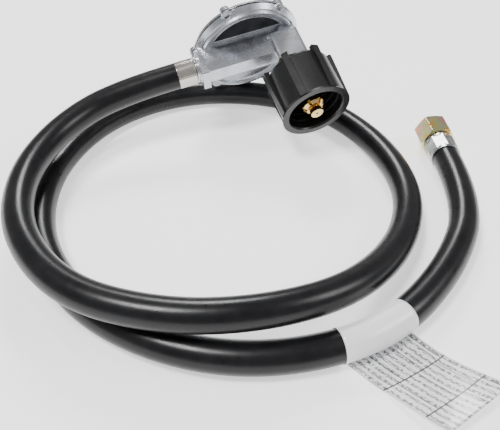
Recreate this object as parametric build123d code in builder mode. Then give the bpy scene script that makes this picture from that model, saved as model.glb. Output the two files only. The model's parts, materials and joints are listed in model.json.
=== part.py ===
from build123d import *
from math import atan2, cos, degrees, hypot, pi, radians, sin, tan
import os

# Low-pressure propane regulator with a hand-tightened cylinder coupling, and a
# coiled rubber delivery hose that ends in a female flare nut. Millimetres.
# The origin is the centre of the inlet nipple's tip, and +Z is up.

# ---- driving dimensions ------------------------------------------------------
inlet_tilt = 20.0  # the nipple points this far below the horizontal
body_roll = 9.0  # turn of the regulator about its own axis, as it rests
floor_drop = 34.0  # the nipple tip above the floor

rim_radius = 35.5  # clamped rim of the casting and of the bonnet
cavity_radius = 28.0
rim_seat = 1.6  # where the casting clamps the diaphragm, in front of the rim's back edge
cup_depth = 4.0  # the diaphragm's flat middle behind the rim's back edge
face_height = 4.4
cavity_height = 2.3
diaphragm_thickness = 0.8
diaphragm_radius = 32.0

inlet_x = 21.5  # inlet axis from the diaphragm's axis
inlet_y = 4.5
tip_height = 69.5  # nipple tip from the rim's front edge
boss_width = 20.0
boss_corner = 3.0
boss_top = 29.5
boss_root = 10.5
inlet_thread = 7.0  # radius, 1/4 in pipe thread
thread_fit = 0.1  # radial gap that stands for the thread form
press_fit = 0.02

outlet_y = 5.5
outlet_height = 13.5
outlet_mouth = 49.5  # ferrule mouth from the diaphragm's axis
outlet_thread = 5.2
bar_end = 34.0
pad_start = 30.8
pad_end = 35.3
outlet_face = 36.2
bar_outlet_depth = 12.0

nozzle_radius = 3.5
nozzle_tip = 3.2
orifice_radius = 0.9

screw_count = 6
screw_circle = 34.0
screw_start = -10.0
ear_radius = 3.4
shank_radius = 1.65
screw_bite = 1.7
screw_clear = 2.1
screw_head = 3.1
screw_head_height = 1.2
head_gap = 0.3

lever_pivot = 14.0
lever_height = -0.5
lever_thickness = 1.6
lever_width = 5.0
tip_width = 3.0
pin_radius = 1.0
pin_running = 0.05
hub_half = 3.7
side_gap = 0.3
lug_thickness = 1.6

bonnet_back = 13.0
spring_bore = 9.0
spring_radius = 7.0
spring_wire = 0.4
spring_turns = 2.5

nipple_radius = 6.8
nipple_bore = 4.2
poppet_radius = 3.6
poppet_wire = 0.3
poppet_turns = 8.0

nut_radius = 20.4
nut_bore = 16.9
nut_back = 34.6
nut_mouth = 68.0
rib_count = 7
rib_start = 11.6
rib_width = 4.2
ring_pitch = 5.1
ring_start = 46.5
ring_width = 2.4
ring_depth = 1.0

hose_diameter = 16.0
hose_bore_stem = 4.9
fitting_bore = 3.0
bend_share = 0.45  # share of the shorter run that a bend may use

end_point = (69.0, -40.0)  # where the hose meets its end ferrule
end_height = 11.2  # above the floor
end_heading = 73.5  # degrees from +X
ferrule_length = 14.5
crimp_count = 8
crimp_apothem = 8.3
crimp_radius = 8.7
flare_hex = 19.05
flare_thread = 7.15
flare_start = 14.8
flare_end = 30.8
head_radius = 7.0

label_wall = 0.25
label_gap = 0.05
label_sheet = 0.5

# Hose route: x, y and height above the floor, from the regulator to the end.
outlet_lead = 40.0
end_lead = 44.0
lying = 8.4  # height of the hose's centre where it lies on the floor
stacked = 26.6  # and where it lies on its own lower coil
ROUTE = [
    (-147, 42, 31.2),
    (-172, 9, 27.8),
    (-179, -34, stacked),
    (-163, -80, stacked),
    (-125, -110, stacked),
    (-82, -124, stacked),
    (-36, -120, 20),
    (5, -96, 13),
    (33, -58, 9.2),
    (40, -10, lying),
    (27, 39, lying),
    (-7, 75, lying),
    (-60, 94, lying),
    (-114, 82, lying),
    (-155, 41, lying),
    (-172, -14, lying),
    (-162, -68, lying),
    (-131, -110, lying),
    (-86, -136, lying),
    (-30, -141, lying),
    (20, -117, lying),
]

# ---- planes ------------------------------------------------------------------
floor_height = -floor_drop
inlet_axis = Vector(0, -cos(radians(inlet_tilt)), -sin(radians(inlet_tilt)))


def turned(base, angle):
    """The same plane turned about its own axis."""
    x_dir = base.x_dir.rotate(Axis((0, 0, 0), base.z_dir), angle)
    return Plane(origin=base.origin, x_dir=x_dir, z_dir=base.z_dir)


tip = turned(Plane(origin=(0, 0, 0), x_dir=(1, 0, 0), z_dir=inlet_axis), body_roll)


def at(x, y, z=0.0):
    """Plane parallel to the rim: x and y from the diaphragm's axis, z from the rim."""
    point = tip.from_local_coords(Vector(x - inlet_x, y - inlet_y, z - tip_height))
    return Plane(origin=point, x_dir=tip.x_dir, z_dir=tip.z_dir)


body = at(0, 0)
inlet = at(inlet_x, inlet_y)
outlet = Plane(origin=at(0, outlet_y, outlet_height).origin, x_dir=tip.z_dir, z_dir=-tip.x_dir)
arm = turned(body, degrees(atan2(inlet_y, inlet_x)))
seat_reach = hypot(inlet_x, inlet_y)
end_axis = Vector(cos(radians(end_heading)), sin(radians(end_heading)), 0)
end_origin = Vector(end_point[0], end_point[1], floor_height + end_height)
end = Plane(origin=end_origin, x_dir=end_axis.cross(Vector(0, 0, 1)), z_dir=end_axis)


def axial(base):
    """Plane through a base's axis: x runs outward, y along the axis."""
    return Plane(origin=base.origin, x_dir=base.x_dir, z_dir=base.x_dir.cross(base.z_dir))


def raised(base, x, y, z):
    """The same plane moved to a point given in its own coordinates."""
    point = base.from_local_coords(Vector(x, y, z))
    return Plane(origin=point, x_dir=base.x_dir, z_dir=base.z_dir)


# ---- shapes made on a plane --------------------------------------------------
def turn(base, outline, mode=Mode.ADD):
    """Revolve an outline of (radius, height) points about a plane's own axis."""
    with BuildSketch(axial(base)) as drawing:
        with BuildLine():
            Polyline(*outline, close=True)
        make_face()
    revolve(drawing.sketch, axis=Axis(base.origin, base.z_dir), mode=mode)


def sleeve(base, outer, inner, start, finish, mode=Mode.ADD):
    turn(base, [(inner, start), (outer, start), (outer, finish), (inner, finish)], mode)


def rod(base, radius, start, finish, mode=Mode.ADD):
    sleeve(base, radius, 0, start, finish, mode)


def block(base, low, high, corner=0.0, mode=Mode.ADD):
    """A box between two corners of a plane's own coordinates, edges along z rounded."""
    middle = raised(base, (low[0] + high[0]) / 2, (low[1] + high[1]) / 2, low[2])
    with BuildSketch(middle) as drawing:
        if corner:
            RectangleRounded(high[0] - low[0], high[1] - low[1], corner)
        else:
            Rectangle(high[0] - low[0], high[1] - low[1])
    extrude(drawing.sketch, amount=high[2] - low[2], mode=mode)


def prism(base, inradius, start, finish, sides=6, mode=Mode.ADD):
    """A regular bar, its size given over the flats."""
    with BuildSketch(raised(base, 0, 0, start)) as drawing:
        RegularPolygon(inradius, sides, major_radius=False)
    extrude(drawing.sketch, amount=finish - start, mode=mode)


def coil(base, mean, wire, start, finish, turns):
    """A wire spring between two heights, open ends."""
    climb = finish - start - 2 * wire
    foot = raised(base, 0, 0, start + wire)
    with BuildLine() as path:
        Helix(pitch=climb / turns, height=climb, radius=mean, center=foot.origin, direction=foot.z_dir)
    with BuildSketch(Plane(origin=path.line @ 0, z_dir=path.line % 0)) as section:
        Circle(wire)
    sweep(section.sketch, path=path.line, is_frenet=True)


def screw_places(height):
    """The planes of the cover screws at one height."""
    places = []
    for index in range(screw_count):
        angle = radians(screw_start + index * 360 / screw_count)
        places.append(at(screw_circle * cos(angle), screw_circle * sin(angle), height))
    return places


# ---- derived sizes -----------------------------------------------------------
bonnet_front = rim_seat - diaphragm_thickness
cup_back = -cup_depth - diaphragm_thickness
ear_thickness = 2.0
ear_height = 1.4
bonnet_ear = bonnet_front - ear_thickness
plate_back = cup_back - 1.2
link_head = plate_back - 1.2
adjuster_front = -11.2
adjuster_back = adjuster_front - 0.8
lug_inner = hub_half + side_gap
lug_outer = lug_inner + lug_thickness
lug_start = lever_pivot - 2.0
lug_finish = lever_pivot + 2.0
lug_reach = -2.8
lever_front = lever_height + lever_thickness / 2
lever_rear = lever_height - lever_thickness / 2
seat_thickness = 1.5
seat_radius = 2.9
well_radius = 5.0
well_height = 5.5
flange_seat = 14.0
nozzle_flange = 1.5
gasket_thickness = 1.0
hex_start = boss_top + gasket_thickness
hex_end = hex_start + 3.5
shoulder = 5.5  # length of the nipple's front groove and neck, from its tip
ring_groove = 44.4
groove_width = 1.4
groove_radius = 6.0
bushing_start = hex_end + 0.2
bushing_outer = 9.1
bushing_flange = 42.3
bushing_back = 44.3
nut_running = 0.1
nut_hole = bushing_outer + nut_running
retainer_start = 38.0
retainer_end = 41.0
poppet_start = 50.0
poppet_end = 58.0

# ---- body casting ------------------------------------------------------------
rim_profile = [
    (0, rim_seat),
    (rim_radius - 0.3, rim_seat),
    (32.8, 4.6),
    (32.2, 3.9),
    (31.2, 6.2),
    (29.8, 6.2),
    (28.6, face_height),
    (0, face_height),
]
bar_low = -10.5
bar_high = 10.0
bar_side = 7.25
bar_right = -30.0
bar_lower_round = 6.5
bar_upper_round = 1.5
lip_left = 8.5
lip_right = 31.5
lip_end = 13.0
lip_round = 3.0

with BuildPart() as body_casting:
    turn(body, rim_profile)
    for place in screw_places(rim_seat):
        rod(place, ear_radius, 0, ear_height)
    with BuildSketch(raised(outlet, 0, 0, bar_right)) as bar_section:
        with Locations(((bar_low + bar_high) / 2, 0)):
            Rectangle(bar_high - bar_low, 2 * bar_side)
        front = bar_section.vertices().group_by(Axis(outlet.origin, outlet.x_dir))[-1]
        ordered = front.sort_by(Axis(outlet.origin, outlet.y_dir))
        fillet(ordered[0], radius=bar_lower_round)
        fillet(ordered[-1], radius=bar_upper_round)
    extrude(amount=bar_end - bar_right)
    block(outlet, (-9.0, -8.0, pad_start), (10.6, 7.8, pad_end), corner=1.5)
    rod(outlet, 8.2, pad_end - 1, outlet_face)
    rod(inlet, 9.5, 2.5, boss_root)
    half = boss_width / 2
    block(inlet, (-half, -half, boss_root - 1), (half, half, boss_top), corner=boss_corner)
    block(
        body,
        (lip_left, inlet_y - half, boss_root),
        (lip_right, inlet_y + half, lip_end),
        corner=lip_round,
    )
    rod(body, cavity_radius, rim_seat - 1, cavity_height, Mode.SUBTRACT)
    for side in (-1, 1):
        near = min(side * lug_inner, side * lug_outer)
        far = max(side * lug_inner, side * lug_outer)
        block(arm, (lug_start, near, lug_reach), (lug_finish, far, cavity_height + 1))
    pin_line = raised(arm, lever_pivot, 0, lever_height)
    pin_plane = Plane(origin=pin_line.origin, x_dir=arm.x_dir, z_dir=arm.y_dir)
    rod(pin_plane, pin_radius + press_fit, -lug_outer - 1, lug_outer + 1, Mode.SUBTRACT)
    rod(inlet, inlet_thread, flange_seat, boss_top + 1, Mode.SUBTRACT)
    rod(inlet, nozzle_radius + press_fit, well_height - 1, flange_seat + 1, Mode.SUBTRACT)
    rod(inlet, well_radius, cavity_height - 1, well_height, Mode.SUBTRACT)
    rod(outlet, outlet_thread, 22.0, outlet_face + 1, Mode.SUBTRACT)
    rod(outlet, 4.0, bar_outlet_depth, 23.0, Mode.SUBTRACT)
    rod(at(-16, outlet_y), 3.5, cavity_height - 1, outlet_height, Mode.SUBTRACT)
    for place in screw_places(rim_seat):
        rod(place, screw_bite, -1, ear_height + 1, Mode.SUBTRACT)
body_casting.part.label = "body_casting"

# ---- bonnet and its screen ---------------------------------------------------
bonnet_profile = [
    (cavity_radius, bonnet_front),
    (rim_radius, bonnet_front),
    (rim_radius, -0.6),
    (32.0, -1.6),
    (28.4, -4.6),
    (26.0, -6.4),
    (19.0, -9.0),
    (spring_bore + 1.8, -10.4),
    (spring_bore + 1.8, -bonnet_back),
    (spring_bore, -bonnet_back),
    (spring_bore, -9.2),
    (18.0, -7.9),
    (25.0, -5.4),
    (26.4, -4.4),
    (cavity_radius, -0.4),
]
vent_circle = 21.5
vent_angle = 250.0
vent_boss = 3.2
vent_hole = 1.8
vent_end = -11.0
vent_x = vent_circle * cos(radians(vent_angle))
vent_y = vent_circle * sin(radians(vent_angle))

with BuildPart() as bonnet:
    turn(body, bonnet_profile)
    for place in screw_places(bonnet_ear):
        rod(place, ear_radius, 0, ear_thickness)
    rod(at(vent_x, vent_y), vent_boss, vent_end, -7.6)
    rod(at(vent_x, vent_y), vent_hole, vent_end - 1, -4.0, Mode.SUBTRACT)
    for place in screw_places(bonnet_ear):
        rod(place, screw_clear, -4, ear_thickness + 1, Mode.SUBTRACT)
        rod(place, screw_head + head_gap, -screw_head_height - 1, 0, Mode.SUBTRACT)
bonnet.part.label = "bonnet"

with BuildPart() as vent_screen:
    rod(at(vent_x, vent_y), vent_hole - press_fit, vent_end + 0.6, vent_end + 1.1)
    with BuildSketch(at(vent_x, vent_y, vent_end)) as mesh_holes:
        with GridLocations(0.9, 0.9, 3, 3):
            Circle(0.28)
    extrude(amount=2.0, mode=Mode.SUBTRACT)
vent_screen.part.label = "vent_screen"

# ---- cover screws ------------------------------------------------------------
screw_grip = ear_thickness + diaphragm_thickness + ear_height
screws = []
for number, place in enumerate(screw_places(bonnet_ear), start=1):
    with BuildPart() as cover_screw:
        rod(place, shank_radius, -1, screw_grip)
        rod(place, screw_head, -screw_head_height, 0)
        block(place, (-screw_head - 1, -0.45, -3), (screw_head + 1, 0.45, -0.7), mode=Mode.SUBTRACT)
    cover_screw.part.label = f"cover_screw_{number}"
    screws.append(cover_screw)

# ---- diaphragm stack ---------------------------------------------------------
plate_radius = 16.0
stud_radius = 2.5
front = -cup_depth
roll = [(17.0, 0), (18.4, -1.2), (21.6, -1.2), (23.0, 0)]  # the rolled ring that lets it move
cup_radius = 25.4  # where the cup's wall rises to the clamped edge
wall_lean = 1.4
lower_edge = [(radius, cup_back + lift) for radius, lift in roll]
upper_edge = [(radius, front + lift) for radius, lift in roll]
diaphragm_outline = [
    (stud_radius, cup_back),
    *lower_edge,
    (cup_radius, cup_back),
    (cup_radius + wall_lean, bonnet_front),
    (diaphragm_radius, bonnet_front),
    (diaphragm_radius, rim_seat),
    (cup_radius + wall_lean - diaphragm_thickness, rim_seat),
    (cup_radius - diaphragm_thickness, front),
    *reversed(upper_edge),
    (stud_radius, front),
]

with BuildPart() as diaphragm:
    turn(body, diaphragm_outline)
diaphragm.part.label = "diaphragm"

with BuildPart() as diaphragm_plate:
    turn(
        body,
        [
            (stud_radius, plate_back),
            (plate_radius - 1, plate_back),
            (plate_radius, plate_back + 0.3),
            (plate_radius, cup_back),
            (stud_radius, cup_back),
        ],
    )
diaphragm_plate.part.label = "diaphragm_plate"

slot_half = tip_width / 2 + side_gap
stem_half = slot_half + 2.2
with BuildPart() as diaphragm_link:
    rod(body, stud_radius, link_head, -3.5)
    rod(body, 4.0, link_head, plate_back)
    rod(body, 6.0, front, front + 1.0)
    block(arm, (-2.5, -stem_half, front + 0.5), (2.5, stem_half, 2.0))
    block(arm, (-4.0, -slot_half, -2.0), (4.0, slot_half, 1.0), mode=Mode.SUBTRACT)
diaphragm_link.part.label = "diaphragm_link"

with BuildPart() as main_spring:
    coil(body, spring_radius, spring_wire, adjuster_front, plate_back, spring_turns)
main_spring.part.label = "main_spring"

with BuildPart() as spring_adjuster:
    rod(body, spring_bore - thread_fit, adjuster_back, adjuster_front)
    prism(body, 3.0, adjuster_back - 1, adjuster_front + 1, mode=Mode.SUBTRACT)
spring_adjuster.part.label = "spring_adjuster"

with BuildPart() as closure_cap:
    rod(body, spring_bore + 1.6, -bonnet_back - 0.7, -bonnet_back)
    rod(body, spring_bore - thread_fit, -bonnet_back, adjuster_back)
    block(body, (-4, -0.6, -bonnet_back - 1), (4, 0.6, -bonnet_back - 0.2), mode=Mode.SUBTRACT)
closure_cap.part.label = "closure_cap"

# ---- lever and valve seat ----------------------------------------------------
with BuildPart() as lever:
    block(arm, (-1.8, -tip_width / 2, lever_rear), (5.0, tip_width / 2, lever_front))
    block(arm, (4.0, -lever_width / 2, lever_rear), (24.5, lever_width / 2, lever_front))
    rod(pin_plane, 2.4, -hub_half, hub_half)
    rod(pin_plane, pin_radius + pin_running, -hub_half - 1, hub_half + 1, Mode.SUBTRACT)
lever.part.label = "lever"

with BuildPart() as lever_pin:
    rod(pin_plane, pin_radius, -lug_outer - 0.2, lug_outer + 0.2)
lever_pin.part.label = "lever_pin"

seat_plane = raised(arm, seat_reach, 0, 0)
with BuildPart() as seat_disc:
    rod(seat_plane, seat_radius, lever_front, lever_front + seat_thickness)
seat_disc.part.label = "seat_disc"

with BuildPart() as orifice_nozzle:
    rod(inlet, 5.0, flange_seat, flange_seat + nozzle_flange)
    rod(inlet, nozzle_radius, well_height, flange_seat)
    turn(inlet, [(0, nozzle_tip), (1.6, nozzle_tip), (2.4, well_height), (0, well_height)])
    rod(inlet, orifice_radius, nozzle_tip - 1, flange_seat + 2, Mode.SUBTRACT)
    rod(inlet, 2.0, 8.0, flange_seat + 2, Mode.SUBTRACT)
orifice_nozzle.part.label = "orifice_nozzle"

# ---- inlet nipple and what it holds ------------------------------------------
with BuildPart() as inlet_gasket:
    sleeve(inlet, 9.6, inlet_thread + 0.2, boss_top, hex_start)
inlet_gasket.part.label = "inlet_gasket"

tip_disc = 3.85
tip_disc_length = 3.0
neck_radius = 2.8
nipple_hex = 20.0
disc_back = tip_height - tip_disc_length
castle_front = disc_back - 1.0
castle_back = castle_front - 1.5
with BuildPart() as inlet_nipple:
    rod(inlet, inlet_thread - thread_fit, flange_seat + 2, hex_start)
    prism(inlet, nipple_hex / 2, hex_start, hex_end)
    rod(inlet, nipple_radius, hex_end, castle_back)
    turn(
        inlet,
        [(0, castle_back), (nipple_radius, castle_back), (5.2, castle_front), (0, castle_front)],
    )
    rod(inlet, neck_radius, castle_front, disc_back)
    rod(inlet, tip_disc, disc_back, tip_height)
    sleeve(inlet, 8.0, groove_radius, ring_groove, ring_groove + groove_width, Mode.SUBTRACT)
    for step in range(3):
        slot = turned(inlet, step * 60)
        for side in (-1, 1):
            near = min(side * 4.6, side * 8.0)
            far = max(side * 4.6, side * 8.0)
            block(slot, (near, -0.8, castle_back - 1), (far, 0.8, castle_front + 1), mode=Mode.SUBTRACT)
    rod(inlet, nipple_bore, flange_seat, 60.0, Mode.SUBTRACT)
    rod(inlet, 2.0, 59.0, castle_front - 0.5, Mode.SUBTRACT)
    rod(inlet, 0.8, 60.0, tip_height + 1, Mode.SUBTRACT)
inlet_nipple.part.label = "inlet_nipple"

with BuildPart() as excess_flow_poppet:
    rod(inlet, poppet_radius, poppet_start, poppet_end)
    turn(inlet, [(0, poppet_end), (poppet_radius, poppet_end), (1.5, poppet_end + 1), (0, poppet_end + 1)])
    for side in (-1, 1):
        near = min(side * 2.9, side * 5.0)
        far = max(side * 2.9, side * 5.0)
        block(inlet, (near, -1.0, poppet_start - 1), (far, 1.0, poppet_end + 2), mode=Mode.SUBTRACT)
excess_flow_poppet.part.label = "excess_flow_poppet"

with BuildPart() as poppet_spring:
    coil(inlet, 3.0, poppet_wire, retainer_end, poppet_start, poppet_turns)
poppet_spring.part.label = "poppet_spring"

with BuildPart() as poppet_retainer:
    sleeve(inlet, nipple_bore - press_fit, 2.2, retainer_start, retainer_end)
poppet_retainer.part.label = "poppet_retainer"

# ---- coupling nut and its bushing --------------------------------------------
with BuildPart() as thermal_bushing:
    sleeve(inlet, bushing_outer, nipple_radius + 0.05, bushing_start, bushing_back)
    sleeve(inlet, 11.5, nipple_radius + 0.05, bushing_flange, bushing_back)
thermal_bushing.part.label = "thermal_bushing"

with BuildPart() as retaining_ring:
    ring_front = bushing_back + 0.1 + 1.2
    sleeve(inlet, 8.5, groove_radius + 0.05, bushing_back + 0.15, ring_front)
    block(inlet, (0, -1.2, ring_groove - 1), (10, 1.2, ring_front + 1), mode=Mode.SUBTRACT)
retaining_ring.part.label = "retaining_ring"

nut_floor = bushing_flange - 0.3
shell = [
    (nut_hole, nut_back),
    (14.0, nut_back),
    (19.0, 36.3),
    (nut_radius, 38.5),
    (nut_radius, 66.0),
    (21.5, nut_mouth),
    (17.6, nut_mouth),
    (nut_bore, nut_mouth - 1.2),
    (nut_bore, nut_floor),
    (nut_hole, nut_floor),
]
rib_profile = [
    (nut_radius - 0.9, 35.4),
    (22.3, 35.4),
    (22.9, 36.2),
    (22.9, 38.0),
    (21.5, nut_mouth - 1.0),
    (nut_radius - 0.9, nut_mouth - 1.0),
]
with BuildPart() as coupling_nut:
    turn(inlet, shell)
    for index in range(rib_count):
        rib_plane = axial(turned(inlet, rib_start + index * 360 / rib_count))
        with BuildSketch(rib_plane) as rib_sketch:
            with BuildLine():
                Polyline(*rib_profile, close=True)
            make_face()
        extrude(amount=rib_width / 2, both=True)
    for index in range(4):
        start = ring_start + index * ring_pitch - ring_width / 2
        sleeve(inlet, nut_bore + ring_depth, nut_bore - 1, start, start + ring_width, Mode.SUBTRACT)
coupling_nut.part.label = "coupling_nut"

# ---- outlet barb and ferrule -------------------------------------------------
ferrule_radius = hose_diameter / 2 + 0.2
collar_end = outlet_face + 1.2
ferrule_start = collar_end + 0.3
with BuildPart() as outlet_barb:
    rod(outlet, outlet_thread - thread_fit / 2, 23.0, outlet_face)
    rod(outlet, 6.9, outlet_face, collar_end)
    rod(outlet, hose_bore_stem, collar_end, outlet_mouth - 0.3)
    rod(outlet, fitting_bore, 22.0, outlet_mouth, Mode.SUBTRACT)
outlet_barb.part.label = "outlet_barb"

with BuildPart() as outlet_ferrule:
    turn(
        outlet,
        [
            (hose_bore_stem, ferrule_start),
            (ferrule_radius - 0.6, ferrule_start),
            (ferrule_radius, ferrule_start + 0.6),
            (ferrule_radius, outlet_mouth),
            (hose_bore_stem, outlet_mouth),
        ],
    )
outlet_ferrule.part.label = "outlet_ferrule"

# ---- hose --------------------------------------------------------------------
hose_start = outlet.from_local_coords(Vector(0, 0, outlet_mouth))
points = [hose_start, hose_start + outlet.z_dir * outlet_lead]
for x, y, height in ROUTE:
    points.append(Vector(x, y, floor_height + height))
points.append(end_origin - end_axis * end_lead)
points.append(end_origin)
runs = [second - first for first, second in zip(points, points[1:])]
turns = [first.get_angle(second) for first, second in zip(runs, runs[1:])]
bends = []
for first, second, angle in zip(runs, runs[1:], turns):
    bends.append(bend_share * min(first.length, second.length) / tan(radians(angle / 2)))

with BuildPart() as hose:
    with BuildLine() as centre_line:
        FilletPolyline(*points, radius=bends)
    with BuildSketch(Plane(origin=centre_line.line @ 0, z_dir=centre_line.line % 0)):
        Circle(hose_diameter / 2)
    sweep()
hose.part.label = "hose"
hose_length = sum(edge.length for edge in centre_line.edges())
hose_section = pi * (hose_diameter / 2) ** 2
print("bend radii", [round(bend, 1) for bend in bends])
print("free hose length", round(hose_length, 1))
print("hose volume over section times length", round(hose.part.volume / (hose_section * hose_length), 4))

# ---- end fitting -------------------------------------------------------------
neck_outer = 6.2
head_start = flare_start + 4.5
head_end = head_start + 1.5
cone_end = head_end + 1.5
hex_back_bore = neck_outer + 0.3
hex_web = flare_start + 4.2
chamber = head_radius + 0.6
thread_start = cone_end + 0.2
with BuildPart() as end_ferrule:
    prism(end, crimp_apothem, 1.5, ferrule_length - 1.5, sides=crimp_count)
    sleeve(end, crimp_radius, 0, 0, 2.4)
    sleeve(end, crimp_radius, 0, ferrule_length - 2.4, ferrule_length)
    rod(end, hose_bore_stem, -1, ferrule_length + 1, Mode.SUBTRACT)
end_ferrule.part.label = "end_ferrule"

with BuildPart() as end_stem:
    rod(end, hose_bore_stem, 0.3, ferrule_length)
    rod(end, neck_outer, ferrule_length, head_start)
    rod(end, head_radius, head_start, head_end)
    turn(end, [(0, head_end), (head_radius, head_end), (5.0, cone_end), (0, cone_end)])
    rod(end, fitting_bore, -1, cone_end + 1, Mode.SUBTRACT)
end_stem.part.label = "end_stem"

flare_corner = flare_hex / 3 ** 0.5
with BuildPart() as flare_nut:
    prism(end, flare_hex / 2, flare_start, flare_end)
    turn(
        end,
        [
            (flare_hex / 2 + 0.1, flare_start),
            (flare_corner + 1, flare_start),
            (flare_corner + 1, flare_start + 1.2),
        ],
        Mode.SUBTRACT,
    )
    turn(
        end,
        [
            (flare_hex / 2 + 0.1, flare_end),
            (flare_corner + 1, flare_end),
            (flare_corner + 1, flare_end - 1.2),
        ],
        Mode.SUBTRACT,
    )
    rod(end, hex_back_bore, flare_start - 1, hex_web + 1, Mode.SUBTRACT)
    rod(end, chamber, hex_web, thread_start, Mode.SUBTRACT)
    rod(end, flare_thread, thread_start - 1, flare_end + 1, Mode.SUBTRACT)
    turn(
        end,
        [
            (0, flare_end - 0.9),
            (flare_thread, flare_end - 0.9),
            (flare_thread + 0.9, flare_end),
            (0, flare_end),
        ],
        Mode.SUBTRACT,
    )
flare_nut.part.label = "flare_nut"

# ---- label: a wrap round the hose and a flag that lies on the floor ----------
corner = points[-4]
before = runs[-4].normalized()
after = runs[-3].normalized()
label_bend = bends[-3]
label_turn = radians(turns[-3])
inward = (after - before).normalized()
hub = corner + inward * (label_bend / cos(label_turn / 2))
wrap_inner = hose_diameter / 2 + label_gap
wrap_outer = wrap_inner + label_wall
axis_up = before.cross(after).normalized()


def on_arc(along, outward=0.0):
    """A point of the hose's bend: along it from the label's middle, and outward."""
    spoke = (-inward).rotate(Axis((0, 0, 0), axis_up), degrees((along + wrap_shift) / label_bend))
    return hub + spoke * (label_bend + outward)


wrap_half = 18.5
wrap_shift = -5.5  # from the middle of the hose's bend
flag_join = 2.0  # where the flag leaves the wrap, beside the hose's lowest line
flag_end_left = (-27.6, -186.0)
flag_end_right = (7.4, -173.6)
flag_plane = Plane(origin=(0, 0, floor_height + 0.02), z_dir=(0, 0, 1))


def on_flag(along):
    """A point of the edge where the flag meets the wrap, in the flag's own plane."""
    point = on_arc(along, flag_join)
    return (point.X, point.Y)


with BuildPart() as label:
    with BuildLine() as wrap_line:
        ThreePointArc(on_arc(-wrap_half), on_arc(0), on_arc(wrap_half))
    with BuildSketch(Plane(origin=wrap_line.line @ 0, z_dir=wrap_line.line % 0)):
        Circle(wrap_outer)
        Circle(wrap_inner, mode=Mode.SUBTRACT)
    sweep()
    with BuildSketch(flag_plane) as flag:
        with BuildLine():
            ThreePointArc(on_flag(-wrap_half), on_flag(0), on_flag(wrap_half))
            Polyline(on_flag(wrap_half), flag_end_right, flag_end_left, on_flag(-wrap_half))
        make_face()
    extrude(amount=label_sheet)
label.part.label = "label"

# ---- hand over ---------------------------------------------------------------
os.makedirs("parts", exist_ok=True)
export_step(body_casting.part, "parts/body_casting.step")
export_step(bonnet.part, "parts/bonnet.step")
export_step(vent_screen.part, "parts/vent_screen.step")
for number, cover_screw in enumerate(screws, start=1):
    export_step(cover_screw.part, f"parts/cover_screw_{number}.step")
export_step(diaphragm.part, "parts/diaphragm.step")
export_step(diaphragm_plate.part, "parts/diaphragm_plate.step")
export_step(diaphragm_link.part, "parts/diaphragm_link.step")
export_step(main_spring.part, "parts/main_spring.step")
export_step(spring_adjuster.part, "parts/spring_adjuster.step")
export_step(closure_cap.part, "parts/closure_cap.step")
export_step(lever.part, "parts/lever.step")
export_step(lever_pin.part, "parts/lever_pin.step")
export_step(seat_disc.part, "parts/seat_disc.step")
export_step(orifice_nozzle.part, "parts/orifice_nozzle.step")
export_step(inlet_gasket.part, "parts/inlet_gasket.step")
export_step(inlet_nipple.part, "parts/inlet_nipple.step")
export_step(excess_flow_poppet.part, "parts/excess_flow_poppet.step")
export_step(poppet_spring.part, "parts/poppet_spring.step")
export_step(poppet_retainer.part, "parts/poppet_retainer.step")
export_step(thermal_bushing.part, "parts/thermal_bushing.step")
export_step(retaining_ring.part, "parts/retaining_ring.step")
export_step(coupling_nut.part, "parts/coupling_nut.step")
export_step(outlet_barb.part, "parts/outlet_barb.step")
export_step(outlet_ferrule.part, "parts/outlet_ferrule.step")
export_step(hose.part, "parts/hose.step")
export_step(end_ferrule.part, "parts/end_ferrule.step")
export_step(end_stem.part, "parts/end_stem.step")
export_step(flare_nut.part, "parts/flare_nut.step")
export_step(label.part, "parts/label.step")
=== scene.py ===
import json
from math import atan2, cos, pi, radians, sin

import bmesh
import bpy
from mathutils import Matrix, Vector


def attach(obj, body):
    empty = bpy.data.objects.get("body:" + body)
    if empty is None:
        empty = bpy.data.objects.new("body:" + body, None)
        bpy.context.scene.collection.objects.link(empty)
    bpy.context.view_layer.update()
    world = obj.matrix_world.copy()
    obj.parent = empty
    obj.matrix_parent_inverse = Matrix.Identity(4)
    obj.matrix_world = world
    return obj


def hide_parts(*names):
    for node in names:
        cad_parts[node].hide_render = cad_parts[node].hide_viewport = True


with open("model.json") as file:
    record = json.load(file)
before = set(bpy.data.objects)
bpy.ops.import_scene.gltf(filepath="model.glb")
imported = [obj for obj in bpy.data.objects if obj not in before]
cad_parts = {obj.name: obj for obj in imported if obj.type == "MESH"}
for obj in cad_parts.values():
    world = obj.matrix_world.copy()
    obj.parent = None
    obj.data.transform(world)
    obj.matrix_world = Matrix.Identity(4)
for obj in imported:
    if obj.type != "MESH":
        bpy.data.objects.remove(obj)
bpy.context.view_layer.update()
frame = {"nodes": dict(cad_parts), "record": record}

# ---- sizes and places, in metres, from the CAD model -------------------------
MM = 0.001
FLOOR = -0.034
TILT = radians(20)  # the inlet points this far below the horizontal
ROLL = radians(9)  # the regulator's turn about its own axis
AXIS = Vector((0, -cos(TILT), -sin(TILT)))  # out of the inlet
LEVEL = Vector((1, 0, 0))
UP = AXIS.cross(LEVEL)
BODY_X = LEVEL * cos(ROLL) + UP * sin(ROLL)
BODY_Y = UP * cos(ROLL) - LEVEL * sin(ROLL)
INLET = Vector((0.0215, 0.0045, 0.0695))  # the nipple's tip, from the rim's centre

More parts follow.
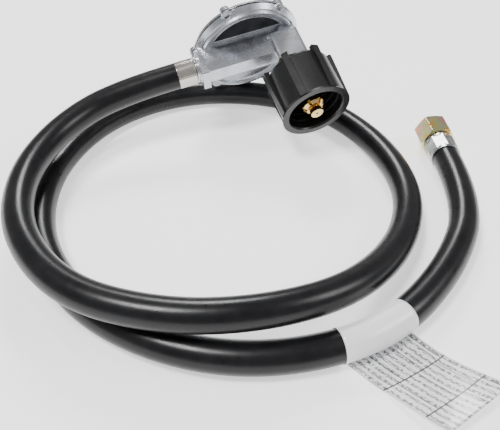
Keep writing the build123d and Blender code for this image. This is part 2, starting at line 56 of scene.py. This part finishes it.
HOSE_DIAMETER = 0.016
HOSE_EXIT = Vector((-0.0495, 0.0055, 0.0135))  # from the rim's centre
EXIT_LEAD = 0.040
END = Vector((0.069, -0.040, FLOOR + 0.0112))
END_HEADING = radians(73.5)
END_AXIS = Vector((cos(END_HEADING), sin(END_HEADING), 0))
END_LEAD = 0.044
LYING = 0.0084  # the hose's centre above the floor where it lies on it
STACKED = 0.0266  # and where it lies on its own lower turn
ROUTE = [
    (-0.147, 0.042, 0.0312),
    (-0.172, 0.009, 0.0278),
    (-0.179, -0.034, STACKED),
    (-0.163, -0.080, STACKED),
    (-0.125, -0.110, STACKED),
    (-0.082, -0.124, STACKED),
    (-0.036, -0.120, 0.020),
    (0.005, -0.096, 0.013),
    (0.033, -0.058, 0.0092),
    (0.040, -0.010, LYING),
    (0.027, 0.039, LYING),
    (-0.007, 0.075, LYING),
    (-0.060, 0.094, LYING),
    (-0.114, 0.082, LYING),
    (-0.155, 0.041, LYING),
    (-0.172, -0.014, LYING),
    (-0.162, -0.068, LYING),
    (-0.131, -0.110, LYING),
    (-0.086, -0.136, LYING),
    (-0.030, -0.141, LYING),
    (0.020, -0.117, LYING),
]


def at(x, y, z):
    """A point given from the regulator's rim centre, along its own axes."""
    return BODY_X * (x - INLET.x) + BODY_Y * (y - INLET.y) + AXIS * (z - INLET.z)


# ---- camera and light --------------------------------------------------------
CAMERA_PLACE = Vector((-0.1466, -0.2724, FLOOR + 0.230))
CAMERA_RIGHT = Vector((0.9348, -0.3551, 0))
CAMERA_FORWARD = Vector((0.2631, 0.6925, -0.6717))
SENSOR_WIDTH = 36  # millimetres, as Blender's camera has it
FOCAL_LENGTH = 43.2
NEAREST_SEEN = 0.01

SKY_STRENGTH = 0.42
FLOOR_REACH = 3.0
FLOOR_GLOW = 0.9
LAMP_TARGET = (-0.06, -0.02, 0)
LAMPS = [  # name, place, diameter and watts
    ("key", (-0.55, -0.15, 1.2), 0.34, 17),
    ("fill", (0.9, -0.6, 0.9), 0.6, 8),
    ("back", (0.25, 1.0, 1.0), 0.4, 13),
]


def look():
    """The camera: place, direction and focal length."""
    camera = bpy.data.objects.new("camera", bpy.data.cameras.new("camera"))
    bpy.context.collection.objects.link(camera)
    right = CAMERA_RIGHT.normalized()
    forward = CAMERA_FORWARD.normalized()
    up = right.cross(forward)
    turn = Matrix((right, up, -forward)).transposed()
    camera.matrix_world = Matrix.Translation(CAMERA_PLACE) @ turn.to_4x4()
    camera.data.sensor_width = SENSOR_WIDTH
    camera.data.lens = FOCAL_LENGTH
    camera.data.clip_start = NEAREST_SEEN
    bpy.context.scene.camera = camera


def lamp(name, place, size, power):
    """A soft round lamp that points at the middle of the object."""
    light = bpy.data.lights.new(name, "AREA")
    light.shape = "DISK"
    light.size = size
    light.energy = power
    piece = bpy.data.objects.new(name, light)
    bpy.context.collection.objects.link(piece)
    piece.location = place
    ray = Vector(LAMP_TARGET) - Vector(place)
    piece.rotation_euler = ray.to_track_quat("-Z", "Y").to_euler()


def studio():
    """A white floor, a white sky and three soft lamps."""
    world = bpy.data.worlds.new("studio")
    world.use_nodes = True
    background = world.node_tree.nodes["Background"]
    background.inputs["Color"].default_value = (1, 1, 1, 1)
    background.inputs["Strength"].default_value = SKY_STRENGTH
    bpy.context.scene.world = world
    for name, place, size, power in LAMPS:
        lamp(name, place, size, power)
    mesh = bpy.data.meshes.new("floor")
    signs = ((-1, -1), (1, -1), (1, 1), (-1, 1))
    corners = [(FLOOR_REACH * x, FLOOR_REACH * y, 0) for x, y in signs]
    mesh.from_pydata(corners, [], [(0, 1, 2, 3)])
    floor = bpy.data.objects.new("floor", mesh)
    floor.location.z = FLOOR
    bpy.context.collection.objects.link(floor)
    paint = bpy.data.materials.new("floor_white")
    paint.use_nodes = True
    shader = paint.node_tree.nodes["Principled BSDF"]
    shader.inputs["Base Color"].default_value = (0.93, 0.93, 0.93, 1)
    shader.inputs["Roughness"].default_value = 0.9
    shader.inputs["Specular IOR Level"].default_value = 0.1
    shader.inputs["Emission Color"].default_value = (1, 1, 1, 1)
    shader.inputs["Emission Strength"].default_value = FLOOR_GLOW
    mesh.materials.append(paint)


# ---- materials ---------------------------------------------------------------
class Paint:
    """A node material built step by step on one Principled shader."""

    def __init__(self, name, roughness=0.5, metallic=0.0):
        self.material = bpy.data.materials.new(name)
        self.material.use_nodes = True
        self.tree = self.material.node_tree
        self.shader = self.tree.nodes["Principled BSDF"]
        self.shader.inputs["Roughness"].default_value = roughness
        self.shader.inputs["Metallic"].default_value = metallic
        self.place = self.node("ShaderNodeTexCoord").outputs["Object"]
        self.normal = None

    def node(self, kind, **settings):
        made = self.tree.nodes.new(kind)
        for key, value in settings.items():
            setattr(made, key, value)
        return made

    def link(self, source, target):
        self.tree.links.new(source, target)

    def noise(self, scale, detail, source=None, stretch=None):
        made = self.node("ShaderNodeTexNoise")
        made.inputs["Scale"].default_value = scale
        made.inputs["Detail"].default_value = detail
        place = source or self.place
        if stretch:
            mapping = self.node("ShaderNodeMapping")
            mapping.inputs["Scale"].default_value = stretch
            self.link(place, mapping.inputs["Vector"])
            place = mapping.outputs["Vector"]
        self.link(place, made.inputs["Vector"])
        return made.outputs["Fac"]

    def ramp(self, source, stops):
        made = self.node("ShaderNodeValToRGB")
        elements = made.color_ramp.elements
        while len(elements) < len(stops):
            elements.new(0.5)
        for element, (place, colour) in zip(elements, stops):
            element.position = place
            element.color = (*colour, 1)
        self.link(source, made.inputs["Fac"])
        return made.outputs["Color"]

    def colour(self, source, stops):
        self.link(self.ramp(source, stops), self.shader.inputs["Base Color"])

    def gloss(self, source, low, high):
        spread = self.node("ShaderNodeMapRange")
        spread.inputs["To Min"].default_value = low
        spread.inputs["To Max"].default_value = high
        self.link(source, spread.inputs["Value"])
        self.link(spread.outputs["Result"], self.shader.inputs["Roughness"])

    def edges(self, radius):
        made = self.node("ShaderNodeBevel", samples=6)
        made.inputs["Radius"].default_value = radius
        self.normal = made.outputs["Normal"]
        self.link(self.normal, self.shader.inputs["Normal"])

    def bump(self, source, strength, distance):
        made = self.node("ShaderNodeBump")
        made.inputs["Strength"].default_value = strength
        made.inputs["Distance"].default_value = distance
        self.link(source, made.inputs["Height"])
        if self.normal:
            self.link(self.normal, made.inputs["Normal"])
        self.normal = made.outputs["Normal"]
        self.link(self.normal, self.shader.inputs["Normal"])


def metal(name, dark, light, roughness, bump):
    """A satin metal: cloudy tone, uneven gloss, soft edges and a fine cast skin."""
    paint = Paint(name, metallic=1.0)
    paint.colour(paint.noise(90, 5), [(0.3, dark), (0.7, light)])
    paint.gloss(paint.noise(160, 4), roughness * 0.75, roughness * 1.3)
    paint.edges(0.3 * MM)
    paint.bump(paint.noise(900, 4), bump, 0.05 * MM)
    return paint.material


def plastic(name, dark, light, roughness):
    """A moulded plastic or rubber: near-flat colour with a fine matt skin."""
    paint = Paint(name)
    paint.colour(paint.noise(120, 4), [(0.3, dark), (0.7, light)])
    paint.gloss(paint.noise(300, 3), roughness * 0.85, roughness * 1.2)
    paint.edges(0.25 * MM)
    paint.bump(paint.noise(2500, 3), 0.2, 0.03 * MM)
    return paint.material


def hose_rubber():
    """Black rubber with the faint weave that its wrapping leaves."""
    paint = Paint("hose_rubber", roughness=0.3)
    paint.shader.inputs["Specular IOR Level"].default_value = 0.32
    stops = [(0.3, (0.003, 0.003, 0.004)), (0.75, (0.009, 0.009, 0.010))]
    paint.colour(paint.noise(60, 4), stops)
    paint.gloss(paint.noise(240, 5), 0.22, 0.38)
    paint.bump(paint.noise(1400, 2), 0.25, 0.06 * MM)
    return paint.material


def yellow_zinc():
    """Yellow zinc plate, whose thin film turns orange, pink and green."""
    paint = Paint("yellow_zinc", metallic=1.0)
    stops = [
        (0.28, (0.80, 0.30, 0.16)),
        (0.40, (0.90, 0.56, 0.16)),
        (0.50, (0.55, 0.66, 0.34)),
        (0.58, (0.86, 0.40, 0.42)),
        (0.70, (0.92, 0.66, 0.20)),
    ]
    paint.colour(paint.noise(110, 3), stops)
    paint.gloss(paint.noise(200, 4), 0.14, 0.30)
    paint.edges(0.35 * MM)
    paint.bump(paint.noise(700, 3), 0.1, 0.05 * MM)
    return paint.material


METALS = {  # slot: dark tone, light tone, roughness, bump
    "zinc_casting": ((0.47, 0.49, 0.53), (0.66, 0.68, 0.71), 0.27, 0.15),
    "screen": ((0.30, 0.30, 0.30), (0.45, 0.45, 0.45), 0.40, 0.15),
    "spring_steel": ((0.35, 0.35, 0.36), (0.5, 0.5, 0.5), 0.25, 0.15),
    "brass": ((0.72, 0.48, 0.17), (0.90, 0.68, 0.32), 0.20, 0.08),
    "fitting_steel": ((0.5, 0.5, 0.5), (0.66, 0.66, 0.65), 0.22, 0.15),
    "ferrule_steel": ((0.50, 0.47, 0.43), (0.66, 0.63, 0.58), 0.20, 0.05),
    "end_ferrule_steel": ((0.30, 0.31, 0.32), (0.5, 0.5, 0.51), 0.28, 0.15),
    "plate_steel": ((0.45, 0.45, 0.46), (0.6, 0.6, 0.6), 0.3, 0.15),
    "screw_steel": ((0.5, 0.5, 0.51), (0.7, 0.7, 0.7), 0.24, 0.15),
}
PLASTICS = {  # slot: dark grey, light grey, roughness
    "diaphragm_rubber": (0.015, 0.03, 0.6),
    "adjuster_plastic": (0.02, 0.04, 0.5),
    "cap_plastic": (0.012, 0.03, 0.42),
    "gasket": (0.012, 0.02, 0.7),
    "bushing": (0.012, 0.025, 0.5),
    "nut_plastic": (0.004, 0.009, 0.30),
    "seat_rubber": (0.015, 0.03, 0.65),
}


def paints():
    """The material of every CAD node that stays, by the record's slot."""
    finishes = {"yellow_zinc": yellow_zinc()}
    for slot, (dark, light, roughness, bump) in METALS.items():
        finishes[slot] = metal(slot, dark, light, roughness, bump)
    for slot, (dark, light, roughness) in PLASTICS.items():
        finishes[slot] = plastic(slot, (dark,) * 3, (light,) * 3, roughness)
    return finishes


CREASE = radians(28)  # edges sharper than this stay sharp


def dress():
    """Every CAD node takes its slot's material, and shades smooth up to its edges."""
    finishes = paints()
    for entry in frame["record"]["subparts"]:
        finish = finishes.get(entry["material_slot"])
        node = frame["nodes"][entry["node"]]
        if finish:
            for index in range(len(node.material_slots)):
                node.material_slots[index].material = finish
        crease = node.modifiers.new("crease", "EDGE_SPLIT")
        crease.split_angle = CREASE


# ---- casting -----------------------------------------------------------------
FLAT_FACE = 0.0044  # the casting's face, in front of its rim
FLAT_RADIUS = 0.0274
FLAT_CHORD = 0.0142  # beside the gas passage
FLAT_STEPS = 64
FLAT_SECTION = (  # inset and height over the face, from the border's foot inwards
    (0, -0.0001),
    (0.0002, 0.00035),
    (0.0006, 0.00035),
    (0.0008, 0.00008),
)


def painted_shade_flat():
    """The half-round flat above the gas passage, in its thin raised border; its floor
    is near-black metal, painted shade of the recess.
    """
    mesh = bmesh.new()
    loops = []
    for inset, height in FLAT_SECTION:
        radius, chord = FLAT_RADIUS - inset, FLAT_CHORD + inset
        half = (radius * radius - chord * chord) ** 0.5
        first = atan2(chord, half)
        loop = []
        for step in range(FLAT_STEPS + 1):
            angle = first + (pi - 2 * first) * step / FLAT_STEPS
            place = at(radius * cos(angle), radius * sin(angle), FLAT_FACE + height)
            loop.append(mesh.verts.new(place))
        loops.append(loop)
    for outer, inner in zip(loops, loops[1:]):
        for index in range(len(outer)):
            after = (index + 1) % len(outer)
            mesh.faces.new((outer[index], outer[after], inner[after], inner[index]))
    # The flat's floor takes the near-black metal: painted shade of the recess.
    floor = mesh.faces.new(loops[-1])
    floor.material_index = 1
    data = bpy.data.meshes.new("painted_shade_flat")
    mesh.to_mesh(data)
    mesh.free()
    piece = bpy.data.objects.new("painted_shade_flat", data)
    bpy.context.collection.objects.link(piece)
    data.materials.append(frame["nodes"]["body_casting"].material_slots[0].material)
    # Near-black tones for the flat's floor: painted shade of the recess, not the
    # casting's own colour.
    dark, light = (0.045, 0.05, 0.055), (0.10, 0.105, 0.11)
    data.materials.append(metal("painted_shade_cast", dark, light, roughness=0.30, bump=0.3))
    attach(piece, "regulator")


# ---- hose --------------------------------------------------------------------
def hose():
    """The hose on its route, from the regulator's ferrule to its end ferrule."""
    start = at(*HOSE_EXIT)
    points = [start, start - BODY_X * EXIT_LEAD]
    for x, y, height in ROUTE:
        points.append(Vector((x, y, FLOOR + height)))
    points.append(END - END_AXIS * END_LEAD)
    points.append(END)
    curve = bpy.data.curves.new("hose_tube", "CURVE")
    curve.dimensions = "3D"
    curve.bevel_depth = HOSE_DIAMETER / 2
    curve.bevel_resolution = 10
    curve.resolution_u = 16
    spline = curve.splines.new("NURBS")
    spline.points.add(len(points) - 1)
    for target, point in zip(spline.points, points):
        target.co = (*point, 1)
    spline.order_u = 3
    spline.use_endpoint_u = True
    piece = bpy.data.objects.new("hose_tube", curve)
    bpy.context.collection.objects.link(piece)
    curve.materials.append(hose_rubber())
    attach(piece, "regulator")
    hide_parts("hose")
    return piece, start


def centre_line(piece):
    """The points of a curve's own line, in order."""
    line = piece.data.copy()
    line.bevel_depth = 0
    carrier = bpy.data.objects.new("line", line)
    bpy.context.collection.objects.link(carrier)
    bpy.context.view_layer.update()
    mesh = bpy.data.meshes.new_from_object(carrier)
    points = [vertex.co.copy() for vertex in mesh.vertices]
    bpy.data.objects.remove(carrier)
    bpy.data.curves.remove(line)
    bpy.data.meshes.remove(mesh)
    return points


# ---- label -------------------------------------------------------------------
LABEL_MIDDLE = Vector((-0.0361, -0.1385, FLOOR + LYING))
LABEL_HALF = 0.0185  # half its width along the hose
LABEL_COLUMNS = 25
WRAP_ROWS = 72
WRAP_START = radians(14)  # from straight down, towards the flag's side
WRAP_RADIUS = 0.00817
WRAP_WAVE = 0.0001
FILM_THICKNESS = 0.00016
FLAG_ROWS = 40
FLAG_LEFT = Vector((-0.0300, -0.1905, 0))
FLAG_RIGHT = Vector((0.0034, -0.1830, 0))
FLAG_LIFT = 0.0105  # how far the free end curls up
FLAG_CURL_START = 0.25  # share of the flag that lies flat
FLAG_CURL_POWER = 1.8
FLAG_WAVE = 0.0003
FLAG_REST = 0.0003  # above the floor
FLAG_PRINT_START = 1.06  # in rows of the print, where the wrap ends at 1


def ease(x):
    """A smooth step from 0 to 1, flat at both ends."""
    x = max(0.0, min(1.0, x))
    return x * x * (3 - 2 * x)


def label_paint():
    """White coated film, ruled like a table and filled with short grey bars."""
    paint = Paint("label_film", roughness=0.28)
    paint.shader.inputs["Coat Weight"].default_value = 0.3
    uv = paint.node("ShaderNodeTexCoord").outputs["UV"]

    def brick(width, height, gap, shift):
        made = paint.node("ShaderNodeTexBrick", offset=shift)
        made.inputs["Scale"].default_value = 1
        made.inputs["Brick Width"].default_value = width
        made.inputs["Row Height"].default_value = height
        made.inputs["Mortar Size"].default_value = gap
        made.inputs["Color1"].default_value = (1, 1, 1, 1)
        made.inputs["Color2"].default_value = (1, 1, 1, 1)
        made.inputs["Mortar"].default_value = (0, 0, 0, 1)
        paint.link(uv, made.inputs["Vector"])
        return made.outputs["Color"]

    def blend(kind, first, second):
        made = paint.node("ShaderNodeMix", data_type="RGBA", blend_type=kind)
        made.inputs["Factor"].default_value = 1
        paint.link(first, made.inputs["A"])
        paint.link(second, made.inputs["B"])
        return made.outputs["Result"]

    rules = brick(0.31, 0.36, 0.006, 0.35)
    strokes = [(0.50, (0.16, 0.16, 0.18)), (0.53, (1, 1, 1))]
    words = paint.ramp(paint.noise(1, 1, uv, (60, 36, 1)), strokes)
    lines = brick(0.0909, 5.0, 0.024, 0.0)
    gaps = paint.node("ShaderNodeInvert")
    paint.link(lines, gaps.inputs["Color"])
    printed = blend("LIGHTEN", words, gaps.outputs["Color"])
    flag = blend("MULTIPLY", printed, rules)
    split = paint.node("ShaderNodeSeparateXYZ")
    paint.link(uv, split.inputs["Vector"])
    on_flag = paint.node("ShaderNodeMath", operation="GREATER_THAN")
    on_flag.inputs[1].default_value = FLAG_PRINT_START
    paint.link(split.outputs["Y"], on_flag.inputs[0])
    final = paint.node("ShaderNodeMix", data_type="RGBA")
    final.inputs["A"].default_value = (0.86, 0.86, 0.87, 1)
    tone = paint.node("ShaderNodeMix", data_type="RGBA", blend_type="MULTIPLY")
    tone.inputs["Factor"].default_value = 1
    tone.inputs["B"].default_value = (0.84, 0.84, 0.85, 1)
    paint.link(flag, tone.inputs["A"])
    paint.link(tone.outputs["Result"], final.inputs["B"])
    paint.link(on_flag.outputs["Value"], final.inputs["Factor"])
    paint.link(final.outputs["Result"], paint.shader.inputs["Base Color"])
    paint.bump(paint.noise(260, 2), 0.25, 0.12 * MM)
    return paint.material


def label(line):
    """A film strip wrapped once round the hose, its two ends joined into a flag."""
    gaps = [(point - LABEL_MIDDLE).length for point in line]
    nearest = gaps.index(min(gaps))
    along = [0.0]
    for first, second in zip(line, line[1:]):
        along.append(along[-1] + (second - first).length)
    middle = along[nearest]

    def on_line(distance):
        index = max(i for i in range(len(line) - 1) if along[i] <= distance)
        share = (distance - along[index]) / (along[index + 1] - along[index])
        heading = (line[index + 1] - line[index]).normalized()
        return line[index].lerp(line[index + 1], share), heading

    mesh = bmesh.new()
    uv_layer = mesh.loops.layers.uv.new("print")
    grid, places = [], []
    for column in range(LABEL_COLUMNS):
        share = column / (LABEL_COLUMNS - 1)
        centre, heading = on_line(middle + (2 * share - 1) * LABEL_HALF)
        outward = heading.cross(Vector((0, 0, 1))).normalized()
        row, row_places = [], []
        for step in range(WRAP_ROWS + 1):
            angle = WRAP_START + (2 * pi - WRAP_START) * step / WRAP_ROWS
            wave = WRAP_WAVE * sin(9 * share + 2 * angle)
            spoke = outward * sin(angle) - Vector((0, 0, 1)) * cos(angle)
            row.append(centre + spoke * (WRAP_RADIUS + wave))
            row_places.append((share, step / WRAP_ROWS))
        root = row[-1]
        tip = FLAG_LEFT.lerp(FLAG_RIGHT, share)
        for step in range(1, FLAG_ROWS + 1):
            out = step / FLAG_ROWS
            point = root.lerp(tip, out)
            low = FLOOR + FLAG_REST
            rest = low + (root.z - low) * (1 - ease(out * 6))
            lifted = max(0.0, (out - FLAG_CURL_START) / (1 - FLAG_CURL_START))
            curl = FLAG_LIFT * lifted**FLAG_CURL_POWER * (0.65 + 0.35 * share)
            wave = FLAG_WAVE * sin(3 + 7 * out + 5 * share) * ease(out * 3)
            point.z = rest + curl + wave
            row.append(point)
            row_places.append((share, 1 + out))
        grid.append([mesh.verts.new(point) for point in row])
        places.append(row_places)
    for column in range(LABEL_COLUMNS - 1):
        for step in range(len(grid[0]) - 1):
            corners = [
                (column, step),
                (column + 1, step),
                (column + 1, step + 1),
                (column, step + 1),
            ]
            face = mesh.faces.new([grid[i][j] for i, j in corners])
            face.smooth = True
            for loop, (i, j) in zip(face.loops, corners):
                loop[uv_layer].uv = places[i][j]
    data = bpy.data.meshes.new("label_film")
    mesh.to_mesh(data)
    mesh.free()
    piece = bpy.data.objects.new("label_film", data)
    bpy.context.collection.objects.link(piece)
    film = piece.modifiers.new("film", "SOLIDIFY")
    film.thickness = FILM_THICKNESS
    film.offset = 0
    data.materials.append(label_paint())
    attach(piece, "regulator")
    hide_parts("label")
    return piece


# ---- the whole scene ---------------------------------------------------------
look()
studio()
dress()
painted_shade_flat()
tube, hose_exit = hose()
film = label(centre_line(tube))
